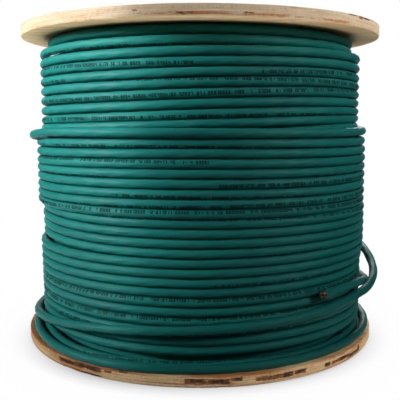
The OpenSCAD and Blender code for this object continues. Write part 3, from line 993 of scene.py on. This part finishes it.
woodLook = {
    "plies": 5,
    "face": {"pale": rgb(226, 196, 152), "line": rgb(196, 154, 104), "pore": rgb(150, 106, 64)},
    "bottomRim": {"pale": rgb(228, 202, 158), "warm": rgb(184, 136, 86), "dark": rgb(108, 64, 30),
                  "knotAndHollowDark": rgb(26, 13, 8), "stained": rgb(156, 82, 18), "soak": 0.9, "lined": 1.0},
    "topRim": {"pale": rgb(190, 174, 148), "warm": rgb(172, 143, 112), "dark": rgb(136, 90, 54),
               "knotAndHollowDark": rgb(36, 20, 12), "stained": rgb(150, 82, 30), "soak": 0.8, "lined": 0.6},
}


def faceMaterial(name, turn, shift, stainColour):
    # a rotary-cut face veneer with its grain turned by the given angle
    look = woodLook["face"]
    made, tree, shader = newMaterial(name)
    place = stretched(tree, objectPlace(tree), (1, 1, 1), turn=(0, 0, math.radians(turn)), place=shift)
    grain = useGroup(tree, woodGrain, Vector=place, Lines=13.0)
    marks = useGroup(tree, handling, Vector=objectPlace(tree), Amount=0.6)
    colour = covered(tree, look["pale"], grain["Growth"], 0.5, look["line"])
    fibre = mapRange(tree, grain["Fibre"], 0.3, 0.7)
    colour = covered(tree, colour, fibre, 0.28, look["line"])
    colour = covered(tree, colour, grain["Pores"], 0.55, look["pore"])
    colour = covered(tree, colour, marks["Dust"], 0.35, rgb(186, 160, 126))
    soaked = swayed(tree, painted(tree, "stained"), grain["Fibre"], 0.8)
    soaked = times(tree, mapRange(tree, soaked, 0.2, 0.8, smooth=True), 0.85)
    colour = mixColour(tree, soaked, colour, stainColour)
    rough = mapRange(tree, grain["Growth"], 0, 1, 0.62, 0.8)
    dress(tree, shader, colour, rough, grain["Height"], 0.0002)
    shader["Specular IOR Level"].default_value = 0.3
    return made


def rimMaterial(name, look, base):
    # Sawn plies: each lies across the last, so round the rim long grain and end grain change places
    made, tree, shader = newMaterial(name)
    place = objectPlace(tree)
    x, y, z = split(tree, place)
    wobble = noiseFac(tree, place, (22, 22, 40), 2)
    height = minus(tree, z, base)
    height = plus(tree, height, maths(tree, "MULTIPLY_ADD", wobble, 0.0012, -0.0006))
    plyNumber = times(tree, height, woodLook["plies"] / flangeThick)
    crossed = maths(tree, "PINGPONG", maths(tree, "FLOOR", plyNumber), 1)
    glue = maths(tree, "PINGPONG", plyNumber, 0.5)
    glue = mapRange(tree, glue, 0.0, 0.10, 1, 0, smooth=True)
    facing = maths(tree, "ABSOLUTE", maths(tree, "DIVIDE", x, flangeRadius))
    endGrain = maths(tree, "ABSOLUTE", minus(tree, crossed, facing))
    streaks = noiseFac(tree, place, (14, 14, 1300), 5, 0.55)
    dots = noiseFac(tree, place, (620, 620, 420), 3, 0.7)
    blotch = noiseFac(tree, place, (30, 30, 240), 4)
    lined = look["lined"]
    colour = mixColour(tree, mapRange(tree, streaks, 0.38, 0.62, 0, lined), look["pale"], look["warm"])
    colour = mixColour(tree, mapRange(tree, blotch, 0.48, 0.72, 0, 0.7), colour, look["warm"])
    colour = mixColour(tree, mapRange(tree, streaks, 0.60, 0.72, 0, 0.75 * lined), colour, look["dark"])
    ends = times(tree, mapRange(tree, dots, 0.48, 0.68), endGrain)
    colour = covered(tree, colour, ends, 0.6, look["dark"])
    colour = covered(tree, colour, glue, 0.35 * lined, look["dark"])

    def torn(attribute, along, across, low, high):
        # a mark's edge frays along the plies and across them
        cover = painted(tree, attribute)
        lengthwise = noiseFac(tree, place, (90, 90, 900), 4, 0.6)
        upright = noiseFac(tree, place, (480, 480, 160), 2, 0.5)
        frayed = swayed(tree, swayed(tree, cover, lengthwise, along), upright, across)
        return times(tree, mapRange(tree, frayed, low, high, smooth=True),
                     mapRange(tree, cover, 0.04, 0.25))

    stained = torn("stained", 2.0, 0.6, 0.1, 1.0)
    # the knots' own dark, with painted shade in the torn hollows and cracks
    black = torn("knotsAndHollows", 1.9, 1.0, 0.3, 1.0)
    halo = torn("knotsAndHollows", 1.3, 0.8, 0.0, 0.4)
    colour = covered(tree, colour, stained, look["soak"], look["stained"])
    colour = covered(tree, colour, halo, 0.85, look["dark"])
    colour = covered(tree, colour, black, 0.95, look["knotAndHollowDark"])
    marks = useGroup(tree, handling, Vector=place, Amount=0.6)
    colour = covered(tree, colour, marks["Wear"], 0.6, look["dark"])
    rough = mapRange(tree, dots, 0.3, 0.7, 0.68, 0.86)
    relief = plus(tree, times(tree, streaks, 0.6), times(tree, dots, 0.5))
    relief = minus(tree, relief, times(tree, black, 0.6))
    dress(tree, shader, colour, rough, relief, 0.00045)
    shader["Specular IOR Level"].default_value = 0.25
    return made


def dressFlange(obj, rim, face):
    obj.data.materials.clear()
    obj.data.materials.append(face)
    obj.data.materials.append(rim)
    for polygon in obj.data.polygons:
        polygon.material_index = 0 if abs(polygon.normal.z) > flange["levelFacet"] else 1


dressFlange(bottomFlange, rimMaterial("bottomRim", woodLook["bottomRim"], 0.0),
            faceMaterial("bottomVeneer", 3, (0.31, 0.12, 0), woodLook["bottomRim"]["stained"]))
dressFlange(topFlange, rimMaterial("topRim", woodLook["topRim"], reelHeight - flangeThick),
            faceMaterial("topVeneer", -4, (0.9, 0.55, 0), woodLook["topRim"]["stained"]))
print("plywood finished")


def fibreMaterial():
    # spiral-wound kraft board
    bandWide = 0.12
    made, tree, shader = newMaterial("kraftBoard")
    place = objectPlace(tree)
    x, y, z = split(tree, place)
    turned = maths(tree, "DIVIDE", maths(tree, "ARCTAN2", y, x), 2 * math.pi)
    climb = maths(tree, "MULTIPLY_ADD", z, 1 / bandWide, turned)
    seam = mapRange(tree, maths(tree, "PINGPONG", climb, 0.5), 0.0, 0.012, 1, 0, smooth=True)
    fibres = noiseFac(tree, place, (500, 500, 160), 4, 0.6)
    marks = useGroup(tree, handling, Vector=place, Amount=0.6)
    colour = mixColour(tree, mapRange(tree, fibres, 0.35, 0.65), rgb(152, 118, 80), rgb(176, 142, 102))
    colour = covered(tree, colour, seam, 0.6, rgb(104, 76, 48))
    colour = covered(tree, colour, marks["Dust"], 0.5, rgb(190, 172, 146))
    rough = mapRange(tree, fibres, 0.3, 0.7, 0.75, 0.9)
    dress(tree, shader, colour, rough, minus(tree, fibres, seam), 0.0002)
    return made


def zincMaterial(name, spangleScale):
    made, tree, shader = newMaterial(name)
    place = objectPlace(tree)
    spangle = node(tree, "ShaderNodeTexVoronoi")
    tree.links.new(place, spangle.inputs["Vector"])
    spangle.inputs["Scale"].default_value = spangleScale
    tone = split(tree, spangle.outputs["Color"])
    brushed = noiseFac(tree, place, (2200, 2200, 300), 3)
    marks = useGroup(tree, handling, Vector=place, Amount=0.7)
    colour = mixColour(tree, tone[0], rgb(176, 180, 182), rgb(202, 204, 203))
    colour = mixColour(tree, marks["Dust"], colour, rgb(160, 156, 146))
    rough = mapRange(tree, plus(tree, tone[1], marks["Wear"]), 0, 1.4, 0.26, 0.48)
    dress(tree, shader, colour, rough, brushed, 0.00004)
    shader["Metallic"].default_value = 0.95
    return made


setMaterial("core_tube", fibreMaterial())
zinc = zincMaterial("zincPlate", 420)
for name in ("tie_bolts", "nuts"):
    setMaterial(name, zinc)
setMaterial("washers", zincMaterial("zincWasher", 260))
print("drum and bolts finished")


stripeFrom = 0.00042        # how far off a wire's middle its stripe begins


def plasticMaterial(name, main, second, rough=0.42, stripe=None, stripePlace=None):
    # drawn insulation; a stripe, where there is one, lies on the side away from its partner
    made, tree, shader = newMaterial(name)
    place = objectPlace(tree)
    grain = noiseFac(tree, place, 1600, 3)
    colour = mixColour(tree, mapRange(tree, grain, 0.3, 0.7), main, second)
    if stripe:
        centre, outward = stripePlace
        offset = node(tree, "ShaderNodeVectorMath", operation="SUBTRACT")
        tree.links.new(place, offset.inputs[0])
        offset.inputs[1].default_value = centre
        along = node(tree, "ShaderNodeVectorMath", operation="DOT_PRODUCT")
        tree.links.new(offset.outputs[0], along.inputs[0])
        along.inputs[1].default_value = outward
        mask = maths(tree, "GREATER_THAN", along.outputs["Value"], stripeFrom)
        colour = mixColour(tree, mask, colour, stripe)
    marks = useGroup(tree, handling, Vector=place, Amount=0.4)
    colour = mixColour(tree, marks["Wear"], colour, second)
    rough = mapRange(tree, grain, 0.3, 0.7, rough - 0.06, rough + 0.08)
    dress(tree, shader, colour, rough, grain, 0.00003)
    return made


wireColours = {
    "blue": (rgb(16, 48, 104), rgb(26, 64, 124)),
    "orange": (rgb(222, 104, 24), rgb(236, 128, 44)),
    "green": (rgb(24, 96, 48), rgb(38, 116, 62)),
    "brown": (rgb(96, 52, 28), rgb(118, 70, 40)),
}
white = (rgb(228, 228, 220), rgb(242, 242, 236))

for shade, (main, second) in wireColours.items():
    setMaterial("wire_" + shade, plasticMaterial("insulation." + shade, main, second))
    paired = "wire_" + shade + "_white"
    low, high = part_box(paired)
    partnerLow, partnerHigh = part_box("wire_" + shade)
    centre = (low + high) / 2
    toPartner = ((partnerLow + partnerHigh) / 2 - centre).normalized()
    striped = plasticMaterial("insulation." + shade + "Stripe", *white, stripe=main,
                              stripePlace=(tuple(centre), tuple(-toPartner)))
    setMaterial(paired, striped)

# the separator's dark grey is partly painted shade inside the cut end; its own plastic is paler
setMaterial("separator", plasticMaterial("separatorPlastic", rgb(84, 86, 82), rgb(112, 114, 108), 0.5))


def yarnMaterial():
    made, tree, shader = newMaterial("ripCordYarn")
    place = objectPlace(tree)
    twist = noiseFac(tree, place, (3000, 3000, 900), 2)
    colour = mixColour(tree, twist, rgb(206, 196, 164), rgb(238, 232, 212))
    dress(tree, shader, colour, mapRange(tree, twist, 0.3, 0.7, 0.7, 0.9), twist, 0.0001)
    return made


def copperMaterial():
    made, tree, shader = newMaterial("bareCopper")
    place = objectPlace(tree)
    drawn = noiseFac(tree, place, 2400, 3)
    colour = mixColour(tree, drawn, rgb(196, 112, 72), rgb(222, 144, 98))
    dress(tree, shader, colour, mapRange(tree, drawn, 0.3, 0.7, 0.22, 0.42), drawn, 0.00003)
    shader["Metallic"].default_value = 1.0
    return made


setMaterial("rip_cord", yarnMaterial())
setMaterial("conductors", copperMaterial())
print("cut end finished")


stage = {
    "floorSize": 7,
    "shadowRadius": (0.178, 0.26),  # the floor's own shading fades out between these
    "shadowShare": 0.02,
    "contactReach": 0.022,          # reach of the painted contact shadow under the rim
    "contactShade": (0.8, 0.2),     # how dark at the front and from the middle back
    "contactFade": (-0.15, 0.0),    # how far along Y it changes from one to the other
    "floor": rgb(250, 250, 250),
    "floorSeenByObject": rgb(52, 52, 52),
    "skyFill": 0.03,
    # black cards: place, size and turn; the last keeps the key light off the reel's middle
    "cards": {"left": ((-0.45, 0.285, 0.43), (0.8, 0.53), (0, 90, 0)),
              "right": ((0.45, 0.215, 0.43), (0.8, 0.67), (0, 90, 0)),
              "rightLow": ((0.32, 0.1, 0.002), (0.26, 0.9), (0, 0, 0)),
              "front": ((-0.146, -0.368, 0.28), (0.5, 0.3), (0, 90, 21.7))},
}

lamps = {
    "keyHigh": {"place": (-1.2, -0.52, 0.75), "size": (0.5, 0.5), "power": 2.5, "spread": 30,
                "aim": (-0.14, -0.1, 0.40)},
    "keyLow": {"place": (-1.53, -0.38, 0.43), "size": (0.5, 0.6), "power": 1.6},
    "rightTop": {"place": (0.9, -0.5, 0.75), "size": (0.5, 0.5), "power": 0.46, "spread": 30,
                 "aim": (0.16, -0.06, 0.36)},
    "fill": {"place": (1.24, -0.97, 0.43), "size": (0.6, 0.6), "power": 0.8},
    "back": {"place": (0.35, 1.45, 0.95), "size": (0.9, 0.7), "power": 18},
    "woodRight": {"place": (1.2, -0.8, 0.5), "size": (0.6, 0.6), "power": 12, "woodOnly": True},
    "woodBelow": {"place": (0, 0, 0.001), "size": (0.7, 0.7), "power": 2, "woodOnly": True,
                  "spread": 60, "aim": (0, 0, 1)},
}


def seenPlainly(tree):
    # 1 where the camera sees a thing plainly, mirrored or through glass
    path = node(tree, "ShaderNodeLightPath").outputs
    through = maths(tree, "MAXIMUM", path["Is Glossy Ray"], path["Is Transmission Ray"])
    return maths(tree, "MAXIMUM", path["Is Camera Ray"], through)


def matt(tree, colour):
    made = node(tree, "ShaderNodeBsdfDiffuse")
    made.inputs["Color"].default_value = colour
    return made.outputs[0]


def mixShader(tree, factor, a, b):
    made = node(tree, "ShaderNodeMixShader")
    for socket, value in zip(made.inputs, (factor, a, b)):
        feed(tree, socket, value)
    return made.outputs[0]


def makeFloor():
    # white where it is seen, with a thin contact shadow painted into its glow, and dark to the reel so that
    # it lights little
    deselectAll()
    bpy.ops.mesh.primitive_plane_add(size=stage["floorSize"], location=(0, 0, 0))
    floor = bpy.context.object
    floor.name = "floor"
    made = bpy.data.materials.new("paleFloor")
    made.use_nodes = True
    tree = made.node_tree
    tree.nodes.clear()
    place = objectPlace(tree)
    far = node(tree, "ShaderNodeVectorMath", operation="LENGTH")
    tree.links.new(place, far.inputs[0])
    fade = mapRange(tree, far.outputs["Value"], *stage["shadowRadius"], 1 - stage["shadowShare"], 1,
                    smooth=True)
    glow = node(tree, "ShaderNodeEmission")
    glow.inputs["Color"].default_value = (1, 1, 1, 1)
    # painted contact shadow: the glow dims where occlusion finds the reel, more at the front
    contact = node(tree, "ShaderNodeAmbientOcclusion")
    contact.inputs["Distance"].default_value = stage["contactReach"]
    shade = mapRange(tree, split(tree, place)[1], *stage["contactFade"], *stage["contactShade"])
    shade = times(tree, minus(tree, 1.0, contact.outputs["AO"]), shade)
    feed(tree, glow.inputs["Strength"], minus(tree, 1.0, shade))
    shown = mixShader(tree, fade, matt(tree, stage["floor"]), glow.outputs[0])
    mixed = mixShader(tree, seenPlainly(tree), matt(tree, stage["floorSeenByObject"]), shown)
    output = node(tree, "ShaderNodeOutputMaterial")
    tree.links.new(mixed, output.inputs["Surface"])
    floor.data.materials.append(made)


def makeCards():
    # Black cards that the camera doesn't see keep the white surroundings off the sides of the
    # cable, and the key light off its middle. The one that lies flat casts no shadow.
    black = bpy.data.materials.new("cardBlack")
    black.use_nodes = True
    shader = black.node_tree.nodes["Principled BSDF"].inputs
    shader["Base Color"].default_value = rgb(24, 24, 24)
    shader["Roughness"].default_value = 1
    for name, (place, size, turn) in stage["cards"].items():
        deselectAll()
        bpy.ops.mesh.primitive_plane_add(size=1, location=place,
                                         rotation=[math.radians(a) for a in turn])
        card = bpy.context.object
        card.name = name + "Card"
        card.scale = (*size, 1)
        card.data.materials.append(black)
        card.visible_camera = False
        card.visible_shadow = any(turn)


def makeSky():
    world = bpy.data.worlds.new("studio")
    bpy.context.scene.world = world
    world.use_nodes = True
    tree = world.node_tree
    tree.nodes.clear()
    glow = node(tree, "ShaderNodeBackground")
    glow.inputs["Color"].default_value = (1, 1, 1, 1)
    feed(tree, glow.inputs["Strength"], mapRange(tree, seenPlainly(tree), 0, 1, stage["skyFill"], 1))
    output = node(tree, "ShaderNodeOutputWorld")
    tree.links.new(glow.outputs[0], output.inputs["Surface"])


def makeLamps():
    # two lamps reach the plywood alone, as a pale floor would that the dark cable hardly shows
    wood = bpy.data.collections.new("wood")
    for piece in (bottomFlange, topFlange):
        wood.objects.link(piece)
    for name, lamp in lamps.items():
        deselectAll()
        bpy.ops.object.light_add(type="AREA", location=lamp["place"])
        made = bpy.context.object
        made.name = name + "Lamp"
        made.data.shape = "RECTANGLE"
        made.data.size, made.data.size_y = lamp["size"]
        made.data.energy = lamp["power"]
        made.data.spread = math.radians(lamp.get("spread", 180))
        made.visible_camera = False
        if lamp.get("woodOnly"):
            made.light_linking.receiver_collection = wood
        toReel = Vector(lamp.get("aim", (0, 0, reelHeight / 2))) - Vector(lamp["place"])
        made.rotation_euler = toReel.to_track_quat("-Z", "Y").to_euler()


makeFloor()
makeCards()
makeSky()
makeLamps()
bpy.context.scene.view_settings.view_transform = "Standard"
print("lit")
